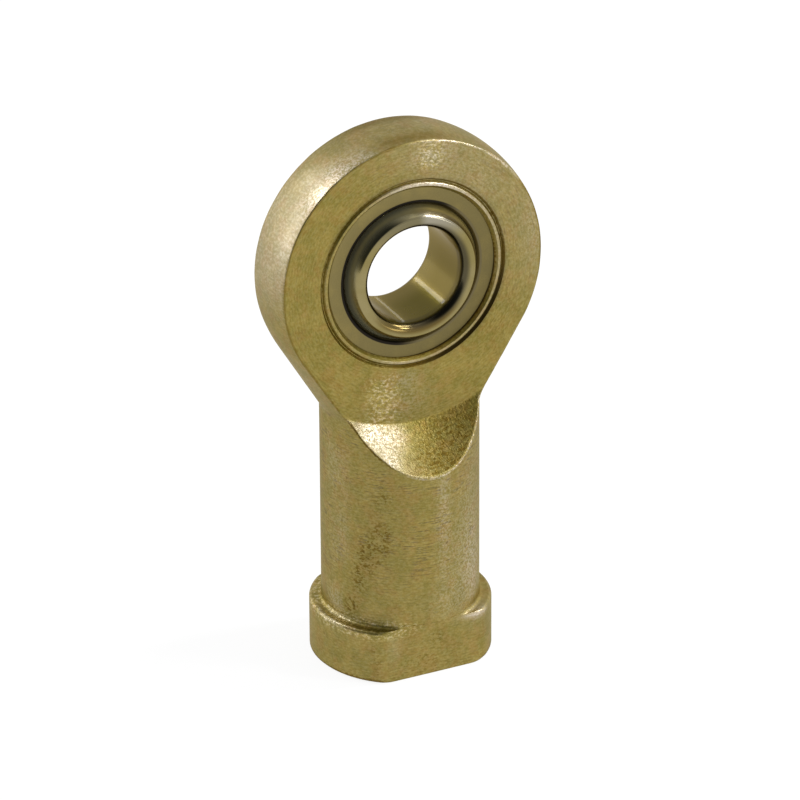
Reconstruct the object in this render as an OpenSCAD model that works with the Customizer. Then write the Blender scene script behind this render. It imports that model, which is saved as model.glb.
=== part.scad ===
// Rod end with an internal thread and a spherical plain bearing, size 12.
// The origin is the centre of the eye. The bore runs along Y and the shank points down, along -Z.

/* [Bearing] */
// Diameter of the bore through the inner ring
bore_d = 12; // [10:0.5:13]
// Width of the inner ring, from end face to end face
inner_ring_w = 10; // [9:0.5:11]
// Diameter of the ball surface on the inner ring
ball_d = 18; // [17:0.5:19]
// Rounding of the bore's two mouths
bore_round = 1.1; // [0.3:0.1:1.4]
// Rounding where the end faces meet the ball surface
ball_edge_round = 0.4; // [0.2:0.1:0.8]
// Least width of flat end face kept between the two roundings
least_end_face = 0.1; // [0.05:0.05:0.3]
// Outside diameter of the outer ring, which is also the seat in the eye
outer_ring_d = 22; // [21:0.5:24]
// Width of the outer ring
outer_ring_w = 7; // [5.5:0.5:7.5]
// Chamfer where the outer ring's faces meet its ball seat
ring_inner_chamfer = 0.45; // [0.2:0.05:0.6]
// Chamfer on the outer ring's outside edges, which the staked lip folds over
ring_outer_chamfer = 0.45; // [0.2:0.05:0.6]
// Radial play between the ball and its seat
ball_play = 0.03; // [0.01:0.01:0.1]

/* [Eye] */
// Diameter of the turned ball-shaped head
head_d = 34; // [32:0.5:38]
// Width of the eye between its two flat faces
head_w = 8; // [7.5:0.25:10]
// How far the staked lip's inner wall leans outwards from the ring to the face
lip_lean = 0.4; // [0.1:0.05:0.6]
// Width of the crest that staking leaves round the seat
lip_crest = 0.3; // [0.2:0.05:0.5]
// Width of the staking groove at the face
groove_w = 0.6; // [0.3:0.05:1]
// Depth of the staking groove
groove_depth = 0.45; // [0.2:0.05:0.8]

/* [Neck and shank] */
// Distance from the centre of the eye to the bottom face
centre_height = 50; // [44:0.5:70]
// Slope of the conical neck, away from the shank's axis
neck_angle = 31; // [27:0.5:35]
// Fillet between the neck and the shank
neck_fillet = 2; // [0.5:0.25:4]
// Diameter of the shank
shank_d = 18.8; // [17.5:0.1:19.6]
// Radius, about the eye, at which the facing cutter starts to slope out of the flat faces
facing_r = 18.8; // [17.8:0.1:21]
// Slope of that facing cut, away from the eye's axis
facing_angle = 43; // [35:1:55]

/* [Collar] */
// Diameter of the collar
collar_d = 21.7; // [21:0.1:24]
// Height of the collar
collar_h = 6.8; // [5:0.1:9]
// Size across the two spanner flats
across_flats = 17.2; // [16:0.1:18.4]
// How far the flats run up past the collar into the shank
flats_runout = 0.3; // [0.1:0.1:1]
// Fillet between the shank and the collar
foot_fillet = 0.5; // [0.2:0.1:0.8]
// Rounding of the collar's upper edge
collar_round = 0.4; // [0.2:0.1:0.5]
// Chamfer of the collar's lower edge
collar_chamfer = 0.4; // [0.2:0.1:0.8]

/* [Thread] */
// Diameter of the drilled hole that is tapped, the thread's core
core_d = 10.2; // [8.5:0.1:10.8]
// Depth of full-diameter hole below the thread's mouth
core_depth = 27; // [20:0.5:28]
// Full angle of the drill's point
drill_point = 118; // [90:1:140]
// Diameter of the countersink at the mouth
countersink_d = 12.6; // [11.5:0.1:13.5]
// Full angle of the countersink
countersink_angle = 90; // [60:5:120]

/* [Hidden] */
$fn = 144;
// Overlap of cutting shapes past the faces that they cut through
past = 1;
// Roundings are drawn this much larger than tangent, so that they cross their neighbours
bite = 0.005;

bore_r = bore_d / 2;
ball_r = ball_d / 2;
seat_r = ball_r + ball_play;
ring_r = outer_ring_d / 2;
ring_y = outer_ring_w / 2;
inner_y = inner_ring_w / 2;
head_r = head_d / 2;
face_y = head_w / 2;
shank_r = shank_d / 2;
collar_r = collar_d / 2;
bottom_z = -centre_height;
collar_z = bottom_z + collar_h;
core_r = core_d / 2;
countersink_r = countersink_d / 2;

// The end face's outer end, where its rounding starts, and the bore rounding that this wall leaves room for
edge_x = sqrt(pow(ball_r - ball_edge_round, 2) - pow(inner_y - ball_edge_round, 2));
mouth_round = min(bore_round, edge_x - bore_r - least_end_face);

// The neck's cone where it leaves the ball-shaped head, and the corner where it meets the shank
neck_top = (head_r - bite) * [cos(neck_angle), -sin(neck_angle)];
neck_foot = [shank_r, neck_top[1] - (neck_top[0] - shank_r) / tan(neck_angle)];
fillet_run = neck_fillet * tan(neck_angle / 2);

// Section radii of the staked lip and its groove at the face
lip_foot_r = ring_r - ring_outer_chamfer;
crest_r = lip_foot_r + lip_lean;
groove_in_r = crest_r + lip_crest;
groove_out_r = groove_in_r + groove_w;

// Turns a section drawn in x = radius, y = distance along the bore about the bore's axis
module about_bore() {
    rotate([-90, 0, 0]) rotate_extrude() children();
}

// Section of the inner ring: the ball cut to width, with the bore's mouths and the outer edges rounded
module inner_ring_section() {
    difference() {
        intersection() {
            circle(ball_r);
            translate([bore_r, -inner_y]) square([ball_r, inner_ring_w]);
        }
        for (side = [-1, 1]) scale([1, side]) {
            // corner at the bore's mouth
            difference() {
                translate([bore_r - past, inner_y - mouth_round]) square([past + mouth_round, mouth_round + past]);
                translate([bore_r + mouth_round, inner_y - mouth_round]) circle(mouth_round + bite);
            }
            // corner on the ball surface
            difference() {
                polygon([
                    [edge_x, inner_y - ball_edge_round],
                    [edge_x, inner_y + past],
                    [ball_r + past, inner_y + past],
                    [edge_x * (ball_r + past) / (ball_r - ball_edge_round),
                     (inner_y - ball_edge_round) * (ball_r + past) / (ball_r - ball_edge_round)]
                ]);
                translate([edge_x, inner_y - ball_edge_round]) circle(ball_edge_round + bite);
            }
        }
    }
}

// The ball: a hardened ring, ground to a sphere outside and honed to size inside
module inner_ring() {
    color("silver") about_bore() inner_ring_section();
}

// Section of the outer ring, with its ball seat and chamfered edges
module outer_ring_section() {
    face_x = sqrt(pow(seat_r, 2) - pow(ring_y, 2));
    difference() {
        polygon([
            [bore_r, -ring_y],
            [ring_r - ring_outer_chamfer, -ring_y],
            [ring_r, -ring_y + ring_outer_chamfer],
            [ring_r, ring_y - ring_outer_chamfer],
            [ring_r - ring_outer_chamfer, ring_y],
            [bore_r, ring_y]
        ]);
        circle(seat_r);
        for (side = [-1, 1]) scale([1, side])
            polygon([
                [bore_r - past, ring_y - ring_inner_chamfer],
                [face_x, ring_y - ring_inner_chamfer],
                [face_x + ring_inner_chamfer, ring_y],
                [face_x + ring_inner_chamfer, ring_y + past],
                [bore_r - past, ring_y + past]
            ]);
    }
}

// The seat ring, pressed into the eye and held there by the staked lips
module outer_ring() {
    color("darkkhaki") about_bore() outer_ring_section();
}

// Section of the conical neck, the shank and the collar
module shank_section() {
    fillet_centre = [shank_r + neck_fillet, neck_foot[1] - fillet_run];
    // the two fillets are drawn as chords and then cut to their radius
    difference() {
        polygon([
            [0, neck_top[1]],
            neck_top,
            neck_foot + fillet_run * [sin(neck_angle), cos(neck_angle)],
            [shank_r, fillet_centre[1]],
            [shank_r, collar_z + foot_fillet],
            [shank_r + foot_fillet, collar_z],
            [collar_r, collar_z],
            [collar_r, bottom_z + collar_chamfer],
            [collar_r - collar_chamfer, bottom_z],
            [0, bottom_z]
        ]);
        translate(fillet_centre) circle(neck_fillet + bite);
        translate([shank_r + foot_fillet, collar_z + foot_fillet]) circle(foot_fillet + bite);
        translate([collar_r - collar_round, collar_z - collar_round]) difference() {
            square(collar_round + past);
            circle(collar_round + bite);
        }
    }
}

// The turned blank: a ball-shaped head on the shank
module blank() {
    rotate([90, 0, 0]) sphere(head_r);
    rotate_extrude() shank_section();
}

// What the facing cutter takes off beyond one flat face, as a section about the bore
module facing_section() {
    out = head_r + past;
    polygon([
        [0, face_y],
        [facing_r, face_y],
        [facing_r + (out - face_y) * tan(facing_angle), out],
        [0, out]
    ]);
}

// The through seat for the outer ring, closed in over its chamfers by the staked lips, and the staking grooves
module seat_section() {
    polygon([
        [0, -face_y - past],
        [crest_r, -face_y - past],
        [crest_r, -face_y],
        [lip_foot_r, -ring_y],
        [ring_r, -ring_y + ring_outer_chamfer],
        [ring_r, ring_y - ring_outer_chamfer],
        [lip_foot_r, ring_y],
        [crest_r, face_y],
        [crest_r, face_y + past],
        [0, face_y + past]
    ]);
    for (side = [-1, 1]) scale([1, side])
        polygon([
            [groove_in_r, face_y],
            [groove_in_r, face_y + past],
            [groove_out_r, face_y + past],
            [groove_out_r, face_y],
            [(groove_in_r + groove_out_r) / 2, face_y - groove_depth]
        ]);
}

// Section of the tapped hole: countersink, core and drill point, turned about the shank's axis
module thread_section() {
    countersink_h = (countersink_r - core_r) / tan(countersink_angle / 2);
    polygon([
        [0, bottom_z - past],
        [countersink_r, bottom_z - past],
        [countersink_r, bottom_z],
        [core_r, bottom_z + countersink_h],
        [core_r, bottom_z + core_depth],
        [0, bottom_z + core_depth + core_r / tan(drill_point / 2)]
    ]);
}

// The one-piece body: turned blank, faced on both sides, bored, tapped and milled with two spanner flats
module housing() {
    color("olive") difference() {
        blank();
        for (side = [0, 1]) mirror([0, side, 0]) {
            about_bore() facing_section();
            translate([-collar_r - past, across_flats / 2, bottom_z - past])
                cube([collar_d + 2 * past, collar_r, collar_h + flats_runout + past]);
        }
        about_bore() seat_section();
        rotate_extrude() thread_section();
    }
}

housing();
outer_ring();
inner_ring();
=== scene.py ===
import math

import bmesh
import bpy
import numpy as np
from mathutils import Matrix, Vector


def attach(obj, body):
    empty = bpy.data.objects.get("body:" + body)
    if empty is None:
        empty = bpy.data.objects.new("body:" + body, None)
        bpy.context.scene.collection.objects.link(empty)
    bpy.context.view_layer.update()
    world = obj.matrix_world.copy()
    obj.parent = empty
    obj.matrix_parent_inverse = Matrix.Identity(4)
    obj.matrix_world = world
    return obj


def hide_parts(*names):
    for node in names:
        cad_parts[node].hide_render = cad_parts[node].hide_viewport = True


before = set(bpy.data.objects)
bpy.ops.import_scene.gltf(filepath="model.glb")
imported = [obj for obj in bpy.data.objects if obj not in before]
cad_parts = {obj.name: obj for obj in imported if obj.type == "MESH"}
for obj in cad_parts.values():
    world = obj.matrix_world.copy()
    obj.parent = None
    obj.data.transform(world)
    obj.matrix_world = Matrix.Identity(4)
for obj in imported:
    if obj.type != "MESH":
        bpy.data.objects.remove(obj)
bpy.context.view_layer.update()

# Camera: a long lens from the front left and above, fitted to the circles of the bearing and to the
# outline of the shank. It looks at a point close to the middle of the part.
camera_turn = math.radians(-25.943)
camera_lift = math.radians(26.095)
camera_roll = math.radians(-0.317)
camera_away = 0.68222
camera_aim = Vector((0.000109, 0.0, -0.017889))
focal_pixels = 5830.17
image_pixels = 800
sensor_width = 36
towards_camera = Vector((
    math.sin(camera_turn) * math.cos(camera_lift),
    -math.cos(camera_turn) * math.cos(camera_lift),
    math.sin(camera_lift),
))
level_right = (-towards_camera).cross(Vector((0, 0, 1))).normalized()
level_up = level_right.cross(-towards_camera)
camera_right = level_right * math.cos(camera_roll) + level_up * math.sin(camera_roll)
camera_up = level_up * math.cos(camera_roll) - level_right * math.sin(camera_roll)
camera_data = bpy.data.cameras.new("camera")
camera_data.sensor_width = sensor_width
camera_data.lens = focal_pixels * sensor_width / image_pixels
camera_data.clip_start = 0.01
camera = bpy.data.objects.new("camera", camera_data)
camera.matrix_world = Matrix.Translation(camera_aim + towards_camera * camera_away) @ Matrix(
    (camera_right, camera_up, towards_camera)
).transposed().to_4x4()
bpy.context.scene.collection.objects.link(camera)
bpy.context.scene.camera = camera
bpy.context.scene.view_settings.view_transform = "Standard"

# Housing: the one-piece steel body. A ball-ended blank is turned on the shank's axis, faced on both sides
# about the bore's axis, bored and staked round the bearing, tapped from below and milled with two spanner
# flats. It is zinc plated and yellow chromated all over. Sizes are in millimetres.
head_r = 17.0
face_y = 4.0
neck_angle = math.radians(31)
neck_fillet = 2.0
shank_r = 9.4
facing_r = 18.8
facing_angle = math.radians(43)
cutter_nose = 0.12
face_start_r = 12.2
bottom_z = -50.0
collar_r = 10.85
collar_z = -43.2
flat_y = 8.6
flat_top_z = -42.9
edge_break = 0.17


def turned_radius(z):
    """Radius of the turned blank at height z, for z at or below the eye's centre and above the collar."""
    top_r = head_r * math.cos(neck_angle)
    top_z = -head_r * math.sin(neck_angle)
    foot_z = top_z - (top_r - shank_r) / math.tan(neck_angle)
    run = neck_fillet * math.tan(neck_angle / 2)
    centre_z = foot_z - run
    ball = np.sqrt(np.maximum(head_r ** 2 - z ** 2, 0))
    cone = top_r - (top_z - z) * math.tan(neck_angle)
    fillet = shank_r + neck_fillet - np.sqrt(np.maximum(neck_fillet ** 2 - (z - centre_z) ** 2, 0))
    start_z = centre_z + neck_fillet * math.sin(neck_angle)
    return np.select([z > top_z, z > start_z, z > centre_z], [ball, cone, fillet], shank_r)


def facing_depth(rho):
    """Distance of the faced surface from the middle plane: flat, then sloping out along the cutter."""
    past = rho - facing_r
    eased = np.where(past > cutter_nose, past, (past + cutter_nose) ** 2 / (4 * cutter_nose))
    return face_y + np.where(past < -cutter_nose, 0, eased) / math.tan(facing_angle)


def faced(rho, along):
    """Points of the front faced surface at distance rho from the bore's axis, in the direction along."""
    return np.stack([rho * along[:, 0], -facing_depth(rho), rho * along[:, 1]], -1)


def on_blank(turn, z):
    """Points of the turned blank below the eye's centre, at an angle from the right-hand side to the front."""
    radius = turned_radius(z)
    return np.stack([radius * np.cos(turn), -radius * np.sin(turn), z], -1)


def rounded(points, radii, steps=5):
    """A line of points with an arc in place of each inner corner that has a radius."""
    line = [np.array(points[0], float)]
    for before, here, after, radius in zip(points, points[1:], points[2:], radii):
        before, here, after = (np.array(p, float) for p in (before, here, after))
        a = (before - here) / np.linalg.norm(before - here)
        b = (after - here) / np.linalg.norm(after - here)
        half = math.acos(max(-1.0, min(1.0, float(a @ b)))) / 2
        if radius == 0:
            line.append(here)
            continue
        reach = radius / math.tan(half)
        centre = here + (a + b) / np.linalg.norm(a + b) * radius / math.sin(half)
        first = here + a * reach - centre
        last = here + b * reach - centre
        whole = math.pi - 2 * half
        for i in range(steps + 1):
            t = i / steps
            arc = (first * math.sin((1 - t) * whole) + last * math.sin(t * whole)) / math.sin(whole)
            line.append(centre + arc)
    line.append(np.array(points[-1], float))
    return np.array(line)


def ease(rows, first, last, rounds):
    """Rounds the corners between two rows of a grid by moving each point towards its neighbours' middle."""
    for _ in range(rounds):
        middle = (rows[first - 1:last] + 2 * rows[first:last + 1] + rows[first + 1:last + 2]) / 4
        rows[first:last + 1] = middle


def solid(name, patches):
    """One closed mesh in metres from grids of points in millimetres, each with the number of its finish and
    the wear of its edges, which also holds painted highlight and painted shade."""
    points, faces, finishes, wear_and_painted_light, start = [], [], [], [], 0
    for grid, finish, wear_and_light in patches:
        rows, columns = grid.shape[:2]
        number = start + np.arange(rows * columns).reshape(rows, columns)
        quads = np.stack([number[:-1, :-1], number[1:, :-1], number[1:, 1:], number[:-1, 1:]], -1)
        points.append(grid.reshape(-1, 3))
        wear_and_painted_light.append(np.broadcast_to(wear_and_light, (rows, columns)).reshape(-1))
        faces.append(quads.reshape(-1, 4))
        finishes.append(np.broadcast_to(finish, quads.shape[:2]).reshape(-1))
        start += rows * columns
    mesh = bpy.data.meshes.new(name)
    mesh.from_pydata((np.concatenate(points) / 1000).tolist(), [], np.concatenate(faces).tolist())
    mesh.polygons.foreach_set("material_index", np.concatenate(finishes).astype(np.int32))
    mesh.attributes.new("wear_and_painted_light", "FLOAT", "POINT")
    mesh.attributes["wear_and_painted_light"].data.foreach_set("value", np.concatenate(wear_and_painted_light).astype(np.float32))
    made = bmesh.new()
    made.from_mesh(mesh)
    bmesh.ops.remove_doubles(made, verts=made.verts, dist=2e-6)
    bmesh.ops.dissolve_degenerate(made, edges=made.edges, dist=1e-7)
    bmesh.ops.recalc_face_normals(made, faces=made.faces)
    for face in made.faces:
        face.smooth = True
    made.to_mesh(mesh)
    made.free()
    piece = bpy.data.objects.new(name, mesh)
    bpy.context.scene.collection.objects.link(piece)
    return piece


def four_ways(patches):
    """The patches of the front right quarter, and their mirror images in the other three."""
    signs = [(x, y, 1) for x in (1, -1) for y in (1, -1)]
    return [(grid * np.array(sign), finish, wear_and_light) for grid, finish, wear_and_light in patches for sign in signs]


# The sharp edge between the blank and the front faced surface, from the top of the eye down its right side
# to the lowest point of the scoop. Beyond the split, the blank's surface beside it runs down the shank.
rim_spacing = 0.3
split_turn = math.radians(42)
eye_samples = 3000
scoop_samples = 6000
halvings = 50
rim_angle = np.linspace(0, math.pi / 2, eye_samples)
rim_r = math.sqrt(head_r ** 2 - face_y ** 2)
rim = np.stack([rim_r * np.sin(rim_angle), 0 * rim_angle - face_y, rim_r * np.cos(rim_angle)], -1)
scoop_z = -(facing_r + (shank_r - face_y) * math.tan(facing_angle))
down = scoop_z * (1 - (1 - np.linspace(0, 1, scoop_samples)[1:]) ** 2)
low, high = np.zeros_like(down), np.full_like(down, math.pi / 2)
for _ in range(halvings):
    middle = (low + high) / 2
    at = on_blank(middle, down)
    inside = -at[:, 1] < facing_depth(np.hypot(at[:, 0], at[:, 2]))
    low, high = np.where(inside, middle, low), np.where(inside, high, middle)
rim = np.concatenate([rim, on_blank(high, down)])
length = np.concatenate([[0], np.cumsum(np.linalg.norm(np.diff(rim, axis=0), axis=1))])
stations = np.linspace(0, length[-1], int(length[-1] / rim_spacing))
rim = np.stack([np.interp(stations, length, rim[:, i]) for i in range(3)], -1)
rim[-1, 0] = 0
on_ball = rim[:, 2] >= -1e-9
rim_rho = np.hypot(rim[:, 0], rim[:, 2])
along = np.stack([rim[:, 0], rim[:, 2]], -1) / rim_rho[:, None]
rim_turn = np.arctan2(-rim[:, 1], rim[:, 0])
split = int(np.argmax(~on_ball & (rim_turn > split_turn)))

# A line square to that edge on the blank's surface
tangent = np.gradient(rim, axis=0)
tangent[-1] = (-1, 0, 0)
step_z = 1e-4
blank_slope = (turned_radius(rim[:, 2] + step_z) - turned_radius(rim[:, 2] - step_z)) / (2 * step_z)
outward = np.stack([np.cos(rim_turn), -np.sin(rim_turn), -blank_slope], -1)
outward[on_ball] = rim[on_ball]
across = np.cross(outward, tangent)
across /= np.linalg.norm(across, axis=1)[:, None]
across *= np.where(across[:, 1] + (-across[:, 2]) * ~on_ball > 0, 1, -1)[:, None]


def beside_rim(distance):
    """Points on the blank at a distance from the sharp edge, and their angles about the shank's axis."""
    near = rim + across * distance[:, None]
    ball = near * head_r / np.linalg.norm(near, axis=1)[:, None]
    ball[0, 0] = 0
    turn = np.arctan2(-near[:, 1], near[:, 0])
    turn[-1] = math.pi / 2
    return np.where(on_ball[:, None], ball, on_blank(turn, near[:, 2])), turn


# The broken edge, a little uneven in width as a file or a tumbling barrel leaves it, and the surfaces on both
# sides of it: the faced one up to the bearing's seat, and a narrow strip of the blank. The guard and border
# lines beside it are this many edge widths away from the sharp edge.
guard_widths = 1.3
border_widths = 1.6
wander = np.sin(stations * 0.9) * np.sin(stations * 0.37 + 1) + 0.4 * np.sin(stations * 2.3 + 2)
edge_w = edge_break * (1 + 0.25 * wander)
edge_w[-1] = edge_break
inner_end = rim_rho - border_widths * edge_w
bend_in = np.minimum(facing_r - cutter_nose, face_start_r + 0.8 * (inner_end - face_start_r))
bend_out = np.minimum(facing_r + cutter_nose, face_start_r + 0.9 * (inner_end - face_start_r))
radii = [face_start_r + (bend_in - face_start_r) * t for t in np.linspace(0, 1, 9)]
radii += [bend_in + (bend_out - bend_in) * t for t in np.linspace(0, 1, 7)[1:]]
radii += [bend_out + (inner_end - bend_out) * t for t in np.linspace(0, 1, 9)[1:]]
radii += [rim_rho - guard_widths * edge_w]
face_side = [faced(radius, along) for radius in radii]
corner_start = faced(rim_rho - edge_w, along)
corner_end = beside_rim(edge_w)[0]
corner = [
    corner_start * (1 - t) ** 2 + rim * 2 * t * (1 - t) + corner_end * t ** 2
    for t in np.linspace(0, 1, 7)
]
guard = beside_rim(guard_widths * edge_w)[0]
border, border_turn = beside_rim(border_widths * edge_w)
face_side = np.stack(face_side + corner[:4], 1)
blank_side = np.stack(corner[3:] + [guard], 1)

# The blank's surface from there to the middle plane, and below the split down to a level line on the shank
level_z = -30.0
to_middle = []
for t in np.linspace(0, 1, 10):
    y = border[:, 1] * (1 - t)
    rho = np.sqrt(head_r ** 2 - y ** 2)
    side = np.hypot(border[:, 0], border[:, 2])
    ball = np.stack([rho * border[:, 0] / side, y, rho * border[:, 2] / side], -1)
    below = on_blank(border_turn * (1 - t), border[:, 2] * (1 - t) + rim[:, 2] * t)
    to_middle.append(np.where(on_ball[:, None], ball, below))
to_middle = np.stack(to_middle, 1)
drop_turn = np.concatenate([
    np.arctan2(-to_middle[split, ::-1, 1], to_middle[split, ::-1, 0]),
    border_turn[split + 1:],
])
drop_z = np.concatenate([to_middle[split, ::-1, 2], border[split + 1:, 2]])
drop_turn[0] = 0
drop = np.stack([on_blank(drop_turn, drop_z + (level_z - drop_z) * t) for t in np.linspace(0, 1, 12)], 0)

# The lower shank and the collar, as level rows of points from the right-hand side to the front. Below the
# top of the flats the front of each row lies on the flat.
columns = len(drop_turn)
flat_columns = 17
round_columns = columns - 1 - flat_columns
corner_r = 2.5
corner_columns = 9


def level_row(radius, z, cut, flat_z):
    """One row: the round part at the height z, the rounded corner, and the flat at the height flat_z. The row
    goes over from a plain circle to this form as cut goes from 0 to 1."""
    corner_y = flat_y - corner_r
    corner_x = math.sqrt((radius - corner_r) ** 2 - corner_y ** 2)
    corner_turn = math.atan2(corner_y, corner_x)
    plain = np.linspace(0, corner_turn, round_columns - 3)
    bent = np.linspace(corner_turn, math.pi / 2, corner_columns + 1)[1:]
    flat_x = np.linspace(corner_x, 0, columns - len(plain) - len(bent) + 1)[1:]
    x = np.concatenate([radius * np.cos(plain), corner_x + corner_r * np.cos(bent), flat_x])
    y = np.concatenate([radius * np.sin(plain), corner_y + corner_r * np.sin(bent), flat_y + 0 * flat_x])
    y = y * cut + np.sqrt(np.maximum(radius ** 2 - x ** 2, 0)) * (1 - cut)
    inward = np.clip(1 - x / corner_x, 0, 1)
    return np.stack([x, -y, z + (flat_z - z) * inward], -1)


foot_fillet = 0.5
collar_round = 0.4
collar_chamfer = 0.4
countersink_r = 6.3
fillet_x = shank_r + foot_fillet
fillet_z = collar_z + foot_fillet
round_x = collar_r - collar_round
round_z = collar_z - collar_round
chamfer_z = bottom_z + collar_chamfer
shank_end_z = -42.5


def fillet_points(degrees):
    """Points (radius, height) on the fillet between the shank and the collar."""
    turns = np.radians(degrees)
    return [(fillet_x - foot_fillet * math.cos(a), fillet_z - foot_fillet * math.sin(a)) for a in turns]


foot = [(shank_r, shank_end_z), (shank_r, fillet_z)] + fillet_points([6, 12, 18])
ledge_r = fillet_x - math.sqrt(foot_fillet ** 2 - (fillet_z - flat_top_z) ** 2)
uncut = [level_row(r, z, 0, z) for r, z in foot]
ledge = [level_row(ledge_r, flat_top_z, cut, flat_top_z) for cut in (0, 0.12, 0.3, 0.6, 0.85, 1)]
collar = fillet_points([33, 45, 58, 72, 90]) + [(10.05, collar_z), (10.25, collar_z)]
collar += [
    (round_x + collar_round * math.sin(a), round_z + collar_round * math.cos(a))
    for a in np.radians([0, 15, 30, 45, 60, 75, 90])
]
collar += [(collar_r, z) for z in (-43.8, -44.4, -45.4, -46.4, -47.4, -48.4, -49.0)]
chamfer = [(collar_r, chamfer_z + 0.3), (collar_r, chamfer_z), (collar_r - collar_chamfer, bottom_z)]
collar += [tuple(point) for point in rounded(chamfer, [0.12], 4)[:-1]]
collar += [(collar_r - step, chamfer_z - step) for step in (0.25, 0.32)]
flat_heights = np.concatenate([
    flat_top_z - np.array([0.05, 0.1, 0.16]),
    np.linspace(flat_top_z - 0.3, bottom_z + 0.25, len(collar) - 5),
    bottom_z + np.array([0.12, 0.06]),
])
cut_rows = [level_row(r, z, 1, flat_z) for (r, z), flat_z in zip(collar, flat_heights)]
outline = level_row(collar_r - collar_chamfer, bottom_z, 1, bottom_z)
spin = np.linspace(0, math.pi / 2, columns)
mouth = countersink_r * np.stack([np.cos(spin), -np.sin(spin), 0 * spin], -1) + np.array([0, 0, bottom_z])
base = [outline + (mouth - outline) * t for t in (0, 0.012, 0.025, 0.06, 0.3, 0.6, 0.9, 1)]
lower = np.stack(uncut + ledge + cut_rows + base, 0)
first_ledge = len(uncut)
first_base = len(uncut) + len(ledge) + len(cut_rows)
flat_part = lower[:, round_columns + 2:]
ease(flat_part, first_ledge - 2, first_ledge + 2, 3)
ease(flat_part, first_ledge + 4, first_ledge + 7, 3)
ease(lower, first_base - 2, first_base + 2, 4)
lower[:, 0, 1] = 0
lower[:, -1, 0] = 0
first_turn = np.arctan2(-lower[0, :, 1], lower[0, :, 0])
shank = np.stack([
    on_blank(drop_turn + (first_turn - drop_turn) * t, np.full(columns, level_z + (shank_end_z - level_z) * t))
    for t in np.linspace(0, 1, 18)
], 0)

# The seat for the bearing, closed in by the staked lip, and the groove that the staking tool leaves. The extra
# point on the lip's inner wall is where its painted shade begins.
ring_r = 11.0
ring_y = 3.5
ring_chamfer = 0.45
crest_in_r = 10.95
crest_out_r = 11.25
groove_r = 11.55
groove_out_r = 11.85
groove_depth = 0.45
seat_line = rounded(
    [
        (face_start_r, -face_y), (groove_out_r, -face_y), (groove_r, groove_depth - face_y),
        (crest_out_r, -face_y), (crest_in_r, -face_y), (10.8, -3.8125),
        (ring_r - ring_chamfer, -ring_y), (ring_r, ring_chamfer - ring_y), (ring_r, 0),
    ],
    [0.07, 0.1, 0.09, 0.09, 0, 0.06, 0],
)
seat = np.stack([
    np.stack([rho * along[:, 0], np.full(len(along), y), rho * along[:, 1]], -1) for rho, y in seat_line
], 1)

# The tapped hole: countersink, the thread with its true pitch, its run-out and the drill's point. The
# profile is one pitch of the thread, as heights and radii.
pitch = 1.75
core_r = 5.1
thread_r = 6.0
thread_top = -26.8
run_out = 1.2 * pitch
hole_top = -23.0
half_drill_point = math.radians(59)
around = 4 * (columns - 1)
angle = np.linspace(0, 2 * math.pi, around + 1)
profile = [(0.0, core_r), (0.38, core_r), (0.43, core_r + 0.03), (0.93, thread_r - 0.05), (1.0, thread_r)]
profile += [(1.16, thread_r), (1.23, thread_r - 0.05), (1.73, core_r + 0.03)]


def hole_turn(radius, z):
    """One turn of points about the shank's axis."""
    return np.stack(np.broadcast_arrays(radius * np.cos(angle), radius * np.sin(angle), z), -1)


hole = [hole_turn(countersink_r, bottom_z)]
for turn in range(-1, 14):
    for rise, radius in profile:
        z = bottom_z + (turn + angle / (2 * math.pi)) * pitch + rise
        z = np.clip(z, bottom_z, hole_top)
        fade = np.clip((thread_top - z) / run_out, 0, 1)
        r = core_r + (radius - core_r) * fade
        hole.append(hole_turn(np.maximum(r, countersink_r - (z - bottom_z)), z))
point_z = hole_top + core_r / math.tan(half_drill_point)
hole += [hole_turn(core_r * (1 - t), hole_top + (point_z - hole_top) * t) for t in (0, 0.4, 0.8, 0.98, 1)]
hole = np.stack(hole, 0)

# How far the plating is worn thin on the broken edges of the rim, the lip and the collar, with painted
# highlight on the collar's upper edge. Below zero is thicker, darker film, and painted shade on the lip's
# inner wall, along the flats' top line and on the collar's lower edge. The three slots are the housing's
# materials.
face_worn = np.zeros(face_side.shape[1])
face_worn[-5:] = (0.3, 0.8, 1, 1, 1)
blank_worn = np.array([1, 1, 1, 0.7, 0.3])
seat_rho = seat_line[:, 0]
seat_depth = -seat_line[:, 1]
crest_points = (seat_rho > 10.94) & (seat_rho < 11.3) & (seat_depth > 3.85)
# The lip's crest is worn, and its inner wall gets painted shade
seat_wear_and_shade = np.where(crest_points, 1.0, 0) - 1.8 * (seat_rho < 10.78)
round_part = np.arange(columns) <= round_columns
lower_wear_and_light = np.zeros(lower.shape[:2])
first_round = first_ledge + len(ledge) + 8
# The collar's upper edge is worn and painted as highlight; painted shade runs along the flats' top line and
# the collar's lower edge
lower_wear_and_light[first_round:first_round + 5] = 0.5 * round_part
lower_wear_and_light[first_ledge - 2:first_ledge + 2] = -0.7 * ~round_part
lower_wear_and_light[first_base - 7:first_base + 1] = -0.2 - 1.2 * round_part
turned_slot = 0
face_slot = 1
scoop_slot = 2
face_middle = (face_side[1:, 1:] + face_side[:-1, :-1]) / 2
face_finish = np.where(np.hypot(face_middle[..., 0], face_middle[..., 2]) > facing_r, scoop_slot, face_slot)
quarter = [
    (seat, face_slot, seat_wear_and_shade), (face_side, face_finish, face_worn), (blank_side, turned_slot, blank_worn),
    (np.stack([guard, border], 1), turned_slot, (0.3, 0)), (to_middle[:split + 1], turned_slot, 0),
    (drop, turned_slot, 0), (shank, turned_slot, 0), (lower, turned_slot, lower_wear_and_light),
]
housing = solid("housing_body", four_ways(quarter) + [(hole, turned_slot, 0)])
spots = np.zeros(3 * len(housing.data.vertices))
housing.data.vertices.foreach_get("co", spots)
spots = spots.reshape(-1, 3) * 1000
spot_x, spot_y, spot_z = spots.T
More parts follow.
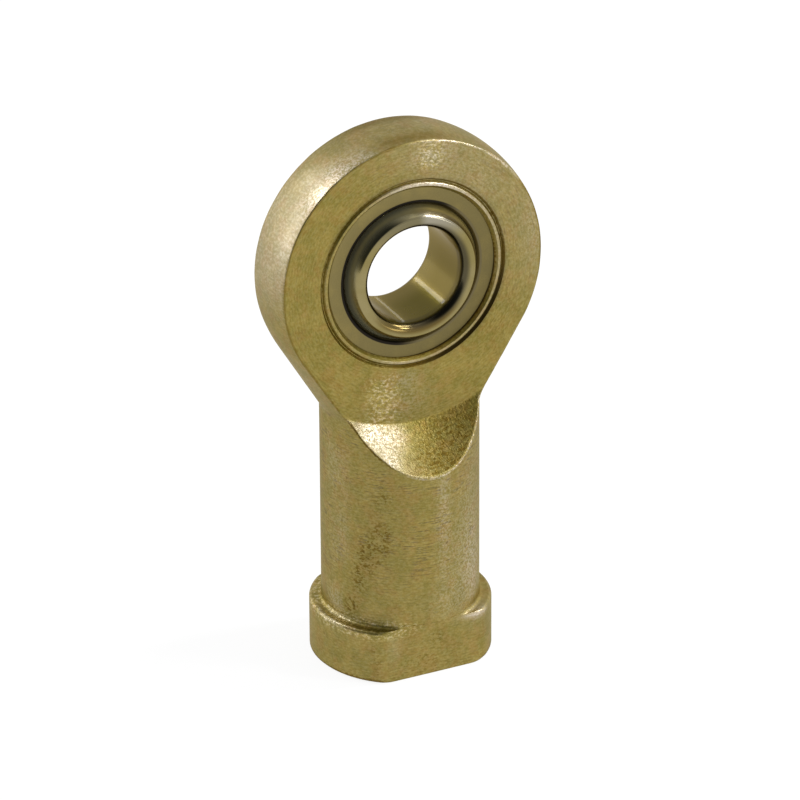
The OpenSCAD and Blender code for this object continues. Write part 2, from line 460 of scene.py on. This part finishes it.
spot_rho = np.hypot(spot_x, spot_z)
depth = np.abs(spot_y)
wear_and_light = np.zeros(len(spots))
housing.data.attributes["wear_and_painted_light"].data.foreach_get("value", wear_and_light)

# The lip's inner wall gets painted shade at the lower right and is painted lighter elsewhere. The groove gets
# painted shadow at the lower right too, with a little on the left. The lip's crest is worn, with painted
# highlight most at the top and a little at the bottom.
lower_right = (spot_x - spot_z) / 16
on_wall = (spot_rho > 10.4) & (spot_rho < 10.78) & (depth > 3.3) & (depth < 4)
wear_and_light = np.where(on_wall, wear_and_light * np.clip((lower_right - 0.35) * 3, -0.4, 1.3), wear_and_light)
in_groove = (spot_rho > 11.35) & (spot_rho < 11.84) & (depth > 3) & (depth < 4)
groove_shadow = np.clip(lower_right, 0.1, 1) + 0.15 * np.clip(spot_x / -8, 0, 1)
wear_and_light = np.where(in_groove, -1.9 * groove_shadow, wear_and_light)
on_crest = (spot_rho > 10.93) & (spot_rho < 11.3) & (depth > 3.85)
crest_highlight_top = 3.2 * np.exp(-((spot_x - 1.8) / 5) ** 2) * (spot_z > 0)
crest_highlight_bottom = 0.8 * np.exp(-((spot_x + 2) / 3) ** 2) * (spot_z < 0)
crest_wear_and_highlight = 0.3 + 0.7 * np.clip((spot_x + 5) / 4, 0, 1) + crest_highlight_top + crest_highlight_bottom
wear_and_light = np.where(on_crest, wear_and_light * crest_wear_and_highlight, wear_and_light)

# The eye's worn broken edge is painted as highlight at the upper right, and as shade on the left and halfway
# down the right. The scoop's edge goes from painted shade to painted highlight towards the right. A band of
# painted shade lies beside the top.
on_edge = (spot_z > -30) & (spot_rho > 12.3)
right_limit = np.interp(spot_z, [-8, 0, 8, 11], [0.6, -1.3, -1.3, 2.4])
limit = np.where(spot_x > 0, right_limit, 2.4)
eye_edge = np.minimum(np.maximum((spot_x + 1.2) / 2, -0.8), limit)
scoop_edge = np.clip((spot_x + 4.2) / 1.5, -1.3, 1.5)
wear_and_light = np.where(on_edge, wear_and_light * np.where(spot_z < -17, scoop_edge, eye_edge), wear_and_light)
beside_top = (spot_z > 11) & (spot_rho > 16) & (depth < 3.95)
top_band_shade = np.exp(-((depth - 3.0) / 1.3) ** 2) * np.exp(-((spot_x + 0.5) / 6) ** 4)
wear_and_light = np.where(beside_top, wear_and_light - 0.9 * top_band_shade, wear_and_light)

# Marks on the film: above zero where hands, a pin and a fork have rubbed it and as painted highlight, below
# zero where it has stained and as painted shade. The bright marks on the face, the scoop's left, the rim, the
# shank's right and the collar's edges are painted highlights; the dark ones on the face's lower right, the
# scoop's right and the flats are painted shade, and most dark ones on the shank are stains. Each mark is the
# place of its middle, its reach across, its reach in height, and its amount.
wear_and_light_marks = {
    "face": [
        (2.5, -4, 14.6, 3.0, 1.6, 1.0), (-2.0, -4, -16.0, 3.5, 2.0, 0.6), (-1.5, -4, -13.2, 2.5, 1.2, 0.6),
        (8, -4, 11, 5.0, 4.0, 0.35), (15.5, -4, 3, 1.6, 6.0, 0.5), (10, -4, -9, 4.0, 6.0, -0.2),
    ],
    "scoop": [
        (-6.5, -4.8, -19.2, 2.0, 1.6, 1.9), (-3.6, -5.0, -20.0, 1.8, 1.6, 1.6),
        (-5.4, -6.8, -22.0, 1.6, 1.0, 3.0), (4.0, -6.5, -21.0, 4.0, 4.0, -0.8),
        (3.0, -8.0, -23.6, 3.5, 1.2, -0.5), (-0.5, -8.0, -22.6, 3.0, 1.6, -0.5),
    ],
    "rim": [
        (-12.2, -3.2, 11.4, 2.0, 2.8, 2.2), (-8.8, -3.6, 14.1, 2.6, 1.2, 3.2),
        (-5.8, -3.7, 15.5, 2.4, 0.8, 1.9), (-15.3, -2.8, 5.0, 1.5, 4.0, 0.5), (-16.5, -1.0, 2, 2.5, 5.0, 0.3),
    ],
    "shank": [
        (-8.8, -3.3, -30, 1.0, 10, 0.3), (-9.0, -2, -35, 1.5, 8.0, 0.4), (-9.2, -1.5, -23, 1.5, 4.0, 0.5),
        (-9.3, -1.5, -41.5, 1.8, 1.5, 0.7), (1.2, -9.3, -28, 0.9, 9, 0.9), (3.0, -8.9, -36, 2.0, 6.0, 0.35),
        (1.5, -9.2, -40.5, 2.5, 2.0, 0.4), (5.4, -7.6, -32, 2.4, 11, 0.8), (6.0, -7.2, -38, 2.0, 5.0, 1.0),
        (9.0, 0, -28, 4.0, 14, 0.1), (-6.8, -6.3, -33, 2.2, 5.0, -0.3), (-9.1, -2.2, -20, 1.0, 1.5, -0.3),
        (-5.6, -7.6, -26.3, 1.2, 1.2, -0.6), (-9.0, -2.6, -27.7, 1.0, 1.6, -0.3),
        (-5.8, -7.4, -31.5, 1.2, 1.6, -0.9), (-7.2, -6.0, -34, 1.2, 1.6, -0.9),
        (-7.9, -5.0, -37.3, 1.0, 1.8, -0.9), (-9.1, -2.5, -37.5, 1.2, 2.0, -0.5),
        (-8.5, -4.0, -41.0, 0.9, 0.9, -2.4),
    ],
    "collar": [
        (-8.6, -5.0, -43.0, 3.0, 1.2, 0.3), (-10.2, -2.9, -43.3, 2.2, 0.35, 0.8),
        (5.8, -8.6, -43.5, 1.5, 0.3, 4.5), (-5.0, -8.6, -45.5, 1.0, 2.5, 0.4),
        (0.5, -8.6, -45.2, 1.2, 1.0, -0.45), (-7.0, -8.0, -46.5, 0.8, 2.5, -0.5),
        (3.5, -8.6, -46.8, 4.0, 2.5, -0.2), (-1.5, -8.6, -48, 2.5, 1.2, -0.4),
    ],
}
on_face = np.abs(depth - face_y) < 0.02
on_scoop = (spot_rho > facing_r - 0.2) & (np.abs(depth - facing_depth(spot_rho)) < 0.03) & ~on_face
elsewhere = ~on_face & ~on_scoop
places = {"face": on_face, "scoop": on_scoop}
for region, region_marks in wear_and_light_marks.items():
    in_region = places.get(region, elsewhere)
    for x, y, z, reach, height, amount in region_marks:
        away = (spots - (x, y, z)) / (reach, reach, height)
        wear_and_light += amount * np.exp(-(away ** 2).sum(1)) * in_region
housing.data.attributes["wear_and_painted_light"].data.foreach_set("value", wear_and_light)


class Wire:
    """A socket in a material's nodes. A sum or product of wires adds the Math nodes for it."""

    def __init__(self, socket):
        self.socket = socket

    def out(self, name):
        return Wire(self.socket.node.outputs[name])

    def math(self, operation, *values):
        return add(self.socket.id_data, "ShaderNodeMath", {"operation": operation}, dict(enumerate(values)))

    def __add__(self, other):
        return self.math("ADD", self, other)

    def __sub__(self, other):
        return self.math("SUBTRACT", self, other)

    def __mul__(self, other):
        return self.math("MULTIPLY", self, other)

    def __truediv__(self, other):
        return self.math("DIVIDE", self, other)

    def __pow__(self, other):
        return self.math("POWER", self, other)

    def __radd__(self, other):
        return self.math("ADD", other, self)

    def __rsub__(self, other):
        return self.math("SUBTRACT", other, self)

    def __rmul__(self, other):
        return self.math("MULTIPLY", other, self)

    def sine(self):
        return self.math("SINE", self)

    def at_least(self, other):
        return self.math("MAXIMUM", self, other)

    def at_most(self, other):
        return self.math("MINIMUM", self, other)

    def between(self, start, end):
        """A smooth rise from 0 at start to 1 at end, which may be the lower of the two."""
        settings = {"interpolation_type": "SMOOTHSTEP"}
        return add(self.socket.id_data, "ShaderNodeMapRange", settings, {"Value": self, 1: start, 2: end})


def add(tree, kind, settings=None, inputs=None):
    """A node of a kind, with its settings made first and then its sockets. It returns its first output."""
    node = tree.nodes.new(kind)
    for name, value in (settings or {}).items():
        setattr(node, name, value)
    for name, value in (inputs or {}).items():
        socket = node.inputs[name]
        if isinstance(value, Wire):
            tree.links.new(value.socket, socket)
        elif socket.type == "RGBA":
            socket.default_value = (*value, 1)
        else:
            socket.default_value = value
    shown = [o for o in node.outputs if o.enabled]
    return Wire(shown[0]) if shown else node


def blend(tree, share, first, second):
    """The first colour going over to the second by a share."""
    return add(tree, "ShaderNodeMix", {"data_type": "RGBA"}, {0: share, 6: first, 7: second})


def scaled(tree, colour, share):
    """A colour times a number."""
    return add(tree, "ShaderNodeVectorMath", {"operation": "SCALE"}, {0: colour, "Scale": share})


def noise(tree, place, scale, detail, roughness=0.5):
    """Cloudy noise about 0.5, with scale blotches to a unit of place."""
    inputs = {"Vector": place, "Scale": scale, "Detail": detail, "Roughness": roughness}
    return add(tree, "ShaderNodeTexNoise", None, inputs)


def new_material(name):
    """An empty material and its node tree."""
    material = bpy.data.materials.new(name)
    material.use_nodes = True
    material.node_tree.nodes.clear()
    return material, material.node_tree


def place_on_piece(tree):
    """Where a point is on its piece, in metres: as a vector, and its x, y and z."""
    place = add(tree, "ShaderNodeTexCoord").out("Object")
    parts = add(tree, "ShaderNodeSeparateXYZ", None, {0: place})
    return place, parts.out("X"), parts.out("Y"), parts.out("Z")


olive = (0.250, 0.201, 0.030)
gold = (0.298, 0.226, 0.043)
light_olive = (0.264, 0.214, 0.046)
brown = (0.255, 0.183, 0.03)
amber = (0.305, 0.192, 0.036)
glare_grey = (0.24, 0.212, 0.135)
speck_gold = (1, 0.92, 0.35)
brown_stain_and_shade = (0.15, 0.09, 0.012)
black_stain_and_shade = (0.035, 0.028, 0.01)
bare_zinc = (0.97, 0.875, 0.77)


def chromated_steel(name, marks_about, bareness, relief, lines, coarse):
    """Zinc plate under an olive-gold chromate film. The tool marks run about the bore or about the shank.

    bareness is the share of bare zinc that shines through. relief is the depth of the bumps, lines the part
    of the tool marks in them, and coarse how much rougher and more blotched a surface is than a turned one.
    """
    material, tree = new_material(name)
    place, x, y, z = place_on_piece(tree)
    if marks_about == "bore":
        # Distance out from the bore, and the way round it, drawn out along the marks
        across_marks = (x * x + z * z) ** 0.5
        round_first, round_second = x / across_marks, z / across_marks
        dash_length, scratch_length = 30, 9
        # Painted shade outside the staking groove, least at the lower left
        groove_shade = across_marks.between(0.0114, 0.0117) * across_marks.between(0.0125, 0.0118)
        groove_shade = groove_shade * (1 - (0 - x - z).between(0.002, 0.013) * 0.9)
        # Painted glints on the tool marks below the bearing on the left, and above it
        low_glint = x.between(-0.007, -0.0045) * x.between(-0.001, -0.0035)
        low_glint = low_glint * z.between(-0.0115, -0.0135) * z.between(-0.0188, -0.0175)
        top_glint = x.between(0.0, 0.0015) * x.between(0.0045, 0.003)
        top_glint = top_glint * z.between(0.0125, 0.0135) * z.between(0.0168, 0.0155)
        glint = low_glint + top_glint
        # More bare zinc towards the upper right as painted highlight, and more scratches there, stains without
        # streaks along the eye's edge, unbroken wear on the lip, and painted glare on the scoop's left, a
        # paler film
        smooth = 0.0
        barer_and_highlight = 0.05 * (x + z).between(0.0, 0.02)
        scratched = 0.18 * (x + z).between(-0.008, 0.01)
        even = across_marks.between(0.0155, 0.016) * z.between(-0.017, -0.013)
        unbroken = across_marks.between(0.0116, 0.0113)
        scoop_glare = x.between(0.001, -0.006) * across_marks.between(0.0187, 0.019)
    else:
        # Height on the shank, and the way round it, drawn out along the marks
        across_marks = z
        round_first, round_second = x, y
        dash_length, scratch_length = 2300, 600
        groove_shade, scoop_glare = 0.0, 0.0
        # Painted glint on the left of the collar's upper edge
        glint = 0.8 * z.between(-0.0446, -0.0438) * z.between(-0.0420, -0.0427) * x.between(-0.0005, -0.004)
        # The head is smooth and its stains have no streaks. More bare zinc shows on it above the eye's centre,
        # most on the left, and just above the neck, as painted highlight. The shank is scratched but for its
        # foot, and the collar's wear is unbroken.
        smooth = z.between(-0.019, -0.011)
        barer_and_highlight = smooth * (0.01 + 0.045 * z.between(-0.005, 0.004) + 0.02 * z.between(-0.007, -0.011))
        barer_and_highlight = barer_and_highlight + smooth * 0.105 * x.between(-0.007, -0.015) * z.between(-0.005, 0.004)
        scratched = 0.4 * z.between(-0.041, -0.034) * (1 - smooth)
        even = smooth
        unbroken = z.between(-0.0415, -0.0425)
    dash_place, scratch_place = [
        add(tree, "ShaderNodeCombineXYZ", None, {
            0: round_first * length_scale, 1: round_second * length_scale, 2: across_marks * width_scale,
        })
        for length_scale, width_scale in ((dash_length, 3600), (scratch_length, 7000))
    ]
    cloud = noise(tree, place, 420, 4, 0.65)
    mottle = noise(tree, place, 1500, 2, 0.6)
    grain = noise(tree, place, 3600, 2, 0.7)
    patch = noise(tree, place, 520, 4, 0.6)
    dashes = noise(tree, dash_place, 1.0, 2, 0.6)
    scratch = noise(tree, scratch_place, 1.0, 1).between(0.52, 0.61) * cloud.between(0.47, 0.58)
    wear_and_painted_light = add(tree, "ShaderNodeAttribute", {"attribute_name": "wear_and_painted_light"}).out("Fac")
    ridge = (across_marks * 17500 + mottle * 5 + cloud * 14).sine() * mottle.between(0.35, 0.65)

    # The film, from olive to gold, with blotches at four sizes
    colour = blend(tree, cloud.between(0.4, 0.6), olive, gold)
    colour = blend(tree, mottle.between(0.42, 0.66) * 0.5, colour, light_olive)
    colour = blend(tree, mottle.between(0.48, 0.36) * (0.3 + 0.4 * coarse), colour, brown)
    colour = blend(tree, patch.between(0.46, 0.66) * 0.55, colour, amber)
    # Painted glare: the scoop's left is paler
    colour = blend(tree, scoop_glare * 0.6, colour, glare_grey)

    # Thick film is a stain and painted shade, broken up by the tool marks unless it is even, and black where
    # it is thickest; the painted shade beside the groove darkens it too
    dark_film_and_shade = (0 - wear_and_painted_light).at_least(0)
    dark_film_and_shade_share = dark_film_and_shade.at_most(1.0)
    stain = dark_film_and_shade_share * (0.3 + 0.65 * mottle.between(0.4, 0.6))
    stain = stain * (0.2 + 1.2 * dashes.between(0.56, 0.42)) * (1 - even) + 0.6 * even * dark_film_and_shade_share
    stain = stain.at_least((dark_film_and_shade - 0.9) * 1.9)
    shade = 1 - (0.1 + 0.18 * coarse) * dark_film_and_shade_share - 0.22 * groove_shade - scratched * scratch
    tone = (0.85 + cloud * 0.3) * (1 + ridge * 0.08) * (0.88 + dashes * 0.24) * shade
    # Painted glints lighten the film on the marks
    tone = tone * (1 + 0.45 * glint * dashes.between(0.4, 0.65))
    speck = ((grain - 0.5) * 0.1 + (dashes - 0.5) * 0.08) * (1 - 0.6 * smooth)
    colour = add(tree, "ShaderNodeVectorMath", {"operation": "ADD"}, {
        0: scaled(tree, colour, tone), 1: scaled(tree, speck_gold, speck),
    })
    colour = blend(tree, stain.between(0, 1) * 0.75, colour, brown_stain_and_shade)
    colour = blend(tree, stain.between(0.9, 1.8) * 0.8, colour, black_stain_and_shade)

    # The film and the bare zinc share the same bumps, and the zinc's share grows where the film is rubbed,
    # where painted highlight is, and on the painted glints
    raised = (dashes * 0.8 + ridge * 0.3) * lines + grain * (0.6 + coarse) + mottle * coarse
    bump = add(tree, "ShaderNodeBump", None, {
        "Strength": 1 - 0.75 * smooth, "Distance": relief, "Height": raised,
    })
    film = add(tree, "ShaderNodeBsdfPrincipled", None, {
        "Base Color": colour, "Metallic": 1.0, "Roughness": 0.42 + mottle * 0.16, "Normal": bump,
        "Specular Tint": (0.66, 0.64, 0.59),
    })
    zinc = add(tree, "ShaderNodeBsdfPrincipled", None, {
        "Base Color": bare_zinc, "Metallic": 1.0, "Roughness": 0.3, "Normal": bump,
    })
    rubbed = 0.15 + 0.3 * unbroken + (0.85 - 0.5 * unbroken) * grain.between(0.42, 0.6)
    share = (bareness + barer_and_highlight) * (0.7 + 0.6 * dashes.between(0.4, 0.7)) * (1 - 0.8 * stain.between(0, 0.8))
    share = share + 0.16 * wear_and_painted_light.at_least(0) * rubbed
    share = share + 0.2 * glint * dashes.between(0.48, 0.6) * grain.between(0.44, 0.54)
    shader = add(tree, "ShaderNodeMixShader", None, {0: share, 1: film, 2: zinc})
    add(tree, "ShaderNodeOutputMaterial", None, {"Surface": shader})
    return material


housing.data.materials.append(chromated_steel("chromated_shank", "shank", 0.045, 0.000022, 1.0, 0.0))
housing.data.materials.append(chromated_steel("chromated_face", "bore", 0.033, 0.000022, 0.7, 0.2))
housing.data.materials.append(chromated_steel("chromated_scoop", "bore", 0.025, 0.000034, 0.3, 1.2))
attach(housing, "body")
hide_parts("housing")

# Outer ring: the bearing's seat ring, turned and phosphated steel. It is pressed into the eye and held by
# the lips staked over its edges, and its hollow inside is the seat of the ball.
seat_r = 9.03
chamfer_y = ring_y - ring_chamfer
face_in_x = math.sqrt(seat_r ** 2 - ring_y ** 2) + ring_chamfer
seat_arc = [
    (math.sqrt(seat_r ** 2 - y ** 2), y) for y in np.linspace(-chamfer_y + 0.05, chamfer_y - 0.05, 25)
]
ring_front = rounded(
    [
        (ring_r, 0), (ring_r, -chamfer_y), (ring_r - ring_chamfer, -ring_y), (face_in_x, -ring_y),
        (face_in_x - ring_chamfer, -chamfer_y), seat_arc[0],
    ],
    [0.05, 0.08, 0.1, 0],
)[:-1]
ring_line = np.concatenate([ring_front, seat_arc, ring_front[::-1] * np.array([1, -1])])


def revolved(name, line, turns):
    """A closed ring: a section of points (radius, distance along the bore) turned about the bore's axis."""
    angle = np.linspace(0, 2 * math.pi, turns + 1)
    grid = np.stack([
        np.stack([r * np.sin(angle), np.full(turns + 1, y), r * np.cos(angle)], -1) for r, y in line
    ], 0)
    return solid(name, [(grid, 0, 0)])


# The face is painted lighter towards the upper left and darker away from it, as painted shade. The edge is
# where the ring ends at the ball, and the gap is a near-black line of painted shade beside the ball, strongest
# on the left.
outer_ring = revolved("bearing_outer_ring", ring_line, 256)
material, tree = new_material("phosphated_steel")
place, x, _, z = place_on_piece(tree)
rho = (x * x + z * z) ** 0.5
turning = add(tree, "ShaderNodeTexNoise", {"noise_dimensions": "1D"}, {"W": rho, "Scale": 9000, "Detail": 3})
stain = noise(tree, place, 300, 5, 0.6)
grain = noise(tree, place, 6000, 3)
# Painted shade: lighter towards the upper left
shade = 1 + z * 10 - x * 13
colour = blend(tree, stain.between(0.4, 0.7), (0.195, 0.158, 0.062), (0.235, 0.187, 0.068))
colour = scaled(tree, colour, (0.85 + grain * 0.3) * shade)
edge = rho.between(0.0091, 0.009)
# Painted shade: the chamfer beside the ball is near black
gap_shade = edge * rho.between(0.0085, 0.00865) * (0.3 + 0.7 * (x - z * 0.35).between(0.0045, 0.001))
colour = blend(tree, edge, colour, (0.21, 0.17, 0.075))
colour = blend(tree, gap_shade * 0.95, colour, (0.008, 0.007, 0.008))
bump = add(tree, "ShaderNodeBump", None, {
    "Strength": 0.5, "Distance": 0.00001, "Height": turning * 0.7 + grain * 0.4,
})
shader = add(tree, "ShaderNodeBsdfPrincipled", None, {
    "Base Color": colour, "Metallic": 1 - 0.3 * edge * (1 - gap_shade), "Roughness": 0.34 + stain * 0.2,
    "Normal": bump,
})
add(tree, "ShaderNodeOutputMaterial", None, {"Surface": shader})
outer_ring.data.materials.append(material)
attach(outer_ring, "body")
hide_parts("outer_ring")

# Inner ring: the ball, a hardened bearing steel ring ground and polished to a sphere outside and honed to
# size inside. It lies loose in its seat and tilts there, and its bore takes the pin.
ball_r = 9.0
bore_r = 6.0
inner_y = 5.0
mouth_round = 1.1
end_round = 0.4
end_x = math.sqrt((ball_r - end_round) ** 2 - (inner_y - end_round) ** 2)
lean = math.atan2(inner_y - end_round, end_x)
bore_line = [(bore_r, 0), (bore_r, -1.9), (bore_r, -3.6)]
mouth_arc = [
    (bore_r + mouth_round - mouth_round * math.cos(a), -(inner_y - mouth_round) - mouth_round * math.sin(a))
    for a in np.radians(np.linspace(0, 90, 13))
]
end_arc = [
    (end_x + end_round * math.cos(a), -(inner_y - end_round) - end_round * math.sin(a))
    for a in np.linspace(math.pi / 2, lean, 7)
]
ball_arc = [(ball_r * math.cos(a), ball_r * math.sin(a)) for a in np.linspace(-lean, lean, 61)[1:-1]]
front_line = bore_line + mouth_arc + end_arc
ball_line = np.array(front_line + ball_arc + [(r, -y) for r, y in front_line[::-1]])
ball = revolved("bearing_inner_ring", ball_line, 256)

# The end face has a straw film, with painted shade and light on it: greyer and darker at the top, a painted
# highlight at the top right and brown painted shade low down. The bore is darker, with painted shade low in it
# and lighter towards its far end, a dark band of painted shade round its mouth, strongest on the right, and
# the sphere's band is painted darker on the left and lighter on the right.
material, tree = new_material("ground_bearing_steel")
place, x, y, z = place_on_piece(tree)
rho = (x * x + z * z) ** 0.5
inside = rho.between(0.00625, 0.00602)
outside = rho.between(0.0076, 0.0081)
near_mouth = inside * y.between(-0.0031, -0.0036)
stain = noise(tree, place, 220, 4, 0.55)
grain = noise(tree, place, 5000, 2)
honing = add(tree, "ShaderNodeTexNoise", {"noise_dimensions": "1D"}, {"W": y, "Scale": 8000, "Detail": 2})
# Painted shade and highlight: the end face greyer at the top, lighter at the top right, brown low down
top_shade_and_highlight = z.between(0.004, 0.007)
end_face = blend(tree, stain.between(0.35, 0.7), (0.30, 0.25, 0.115), (0.25, 0.205, 0.075))
end_face = blend(tree, top_shade_and_highlight, end_face, (0.195, 0.17, 0.092))
end_face = blend(tree, top_shade_and_highlight * x.between(0.0, 0.0016), end_face, (0.34, 0.31, 0.235))
low_shade = z.between(-0.003, -0.006) * rho.between(0.0073, 0.0068)
end_face = blend(tree, low_shade, end_face, (0.16, 0.114, 0.036))
# Painted shade: the bore darker at the bottom, lighter towards its far end
bore_colour_and_shade = blend(tree, z.between(-0.0047, -0.0043), (0.092, 0.074, 0.012), (0.132, 0.1, 0.024))
bore_colour_and_shade = blend(tree, y.between(0.0, 0.004), bore_colour_and_shade, (0.155, 0.12, 0.036))
# Painted shade and light: the sphere's band darker on the left, lighter on the right
sphere_shade_and_light = blend(tree, x.between(-0.002, 0.004), (0.21, 0.2, 0.12), (0.34, 0.27, 0.09))
colour = blend(tree, inside, end_face, bore_colour_and_shade)
colour = blend(tree, outside, colour, sphere_shade_and_light)
# Painted shade: a dark band round the bore's mouth, strongest on the right
scale_end = 0.0067 + x.between(0.001, 0.006) * 0.0002
scale = rho.between(0.00601, 0.0061) * (scale_end - rho).between(-0.0002, 0.0005)
colour = blend(tree, scale * (0.2 + 0.6 * x.between(-0.004, 0.001)), colour, (0.04, 0.037, 0.028))
bump = add(tree, "ShaderNodeBump", None, {
    "Strength": 0.5, "Distance": 0.000008, "Height": honing * inside * 0.15 + grain * 0.2 * (1 - inside),
})
shader = add(tree, "ShaderNodeBsdfPrincipled", None, {
    "Base Color": colour, "Metallic": 1 - 0.5 * outside, "Normal": bump,
    "Roughness": 0.15 + stain * 0.06 + inside * 0.1 + near_mouth * 0.2,
    "Coat Weight": inside * 0.2, "Coat Roughness": 0.06, "Specular Tint": (0.8, 0.7, 0.5),
})
add(tree, "ShaderNodeOutputMaterial", None, {"Surface": shader})
ball.data.materials.append(material)
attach(ball, "ball")
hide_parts("inner_ring")

# Floor: a plain pale table top under the collar. Most of it is plain white and the rest is lit, so that it
# stays white and keeps a faint shadow. From below it is clear.
floor_reach = 3.0
floor_z = (bottom_z - 0.02) / 1000
lit_share = 0.22
corners = [(x * floor_reach, y * floor_reach, floor_z) for x, y in ((-1, -1), (1, -1), (1, 1), (-1, 1))]
floor_mesh = bpy.data.meshes.new("floor")
floor_mesh.from_pydata(corners, [], [(0, 1, 2, 3)])
floor = bpy.data.objects.new("floor", floor_mesh)
bpy.context.scene.collection.objects.link(floor)
material, tree = new_material("white_table")
glow = add(tree, "ShaderNodeEmission", None, {"Color": (1, 1, 1), "Strength": 1.16})
matt = add(tree, "ShaderNodeBsdfDiffuse", None, {"Color": (0.85, 0.85, 0.85)})
mixed = add(tree, "ShaderNodeMixShader", None, {0: lit_share, 1: glow, 2: matt})
from_below = add(tree, "ShaderNodeNewGeometry").out("Backfacing")
clear = add(tree, "ShaderNodeBsdfTransparent")
shader = add(tree, "ShaderNodeMixShader", None, {0: from_below, 1: mixed, 2: clear})
add(tree, "ShaderNodeOutputMaterial", None, {"Surface": shader})
floor_mesh.materials.append(material)

# Room: white all round, but for the dark side of the studio that the camera stands in, above and in front on
# the left. What the camera sees directly is plain white.
world = bpy.data.worlds.new("room")
bpy.context.scene.world = world
world.use_nodes = True
tree = world.node_tree
tree.nodes.clear()
heading = add(tree, "ShaderNodeTexCoord").out("Generated")
dark_side = Vector((-0.66, -0.38, 0.65)).normalized()
dot = add(tree, "ShaderNodeVectorMath", {"operation": "DOT_PRODUCT"}, {0: heading, 1: dark_side}).out("Value")
open_side = dot.between(0.88, 0.5)
rays = add(tree, "ShaderNodeLightPath")
direct = rays.out("Is Camera Ray").at_least(rays.out("Is Transmission Ray"))
level = direct.at_least((0.4 + 0.5 * rays.out("Is Glossy Ray")) * open_side)
tint = blend(tree, level, (0.05, 0.06, 0.075), (1, 1, 1))
backdrop = add(tree, "ShaderNodeBackground", None, {"Color": tint, "Strength": 1.0})
add(tree, "ShaderNodeOutputWorld", None, {"Surface": backdrop})

# Lamps: ten soft boxes, all equally far from the eye of the part. Three high on the right are the
# brightest, and one stands high behind on the left. The others show as streaks and edges in the metal.
lamp_away = 1.2


def soft_box(name, direction, width, height, brightness):
    """An area lamp that faces the eye of the part, as bright as brightness times the white backdrop."""
    data = bpy.data.lights.new(name, "AREA")
    data.shape = "RECTANGLE"
    data.size = width
    data.size_y = height
    data.energy = math.pi * brightness * width * height
    lamp = bpy.data.objects.new(name, data)
    direction = Vector(direction).normalized()
    lamp.location = direction * lamp_away
    lamp.rotation_euler = direction.to_track_quat("Z", "Y").to_euler()
    bpy.context.scene.collection.objects.link(lamp)


soft_box("soft_box_right", (0.79, -0.16, 0.60), 0.22, 0.26, 16.0)
soft_box("soft_box_upper", (0.64, -0.10, 0.76), 0.15, 0.15, 30.0)
soft_box("soft_box_middle", (0.63, -0.50, 0.55), 0.18, 0.14, 30.0)
soft_box("soft_box_top", (0.35, -0.15, 0.92), 0.40, 0.30, 0.6)
soft_box("soft_box_left", (-0.585, 0.47, 0.67), 0.28, 0.22, 10.5)
soft_box("soft_box_strip", (-0.76, 0.58, 0.18), 0.22, 0.55, 2.4)
soft_box("soft_box_rear", (-0.374, 0.808, 0.457), 0.11, 0.11, 12.0)
soft_box("soft_box_back", (-0.55, 0.78, 0.22), 0.9, 0.6, 0.7)
soft_box("soft_box_low", (0.535, 0.808, 0.247), 0.08, 0.08, 3.4)
soft_box("soft_box_front", (0.62, -0.77, 0.08), 0.14, 0.5, 5.0)
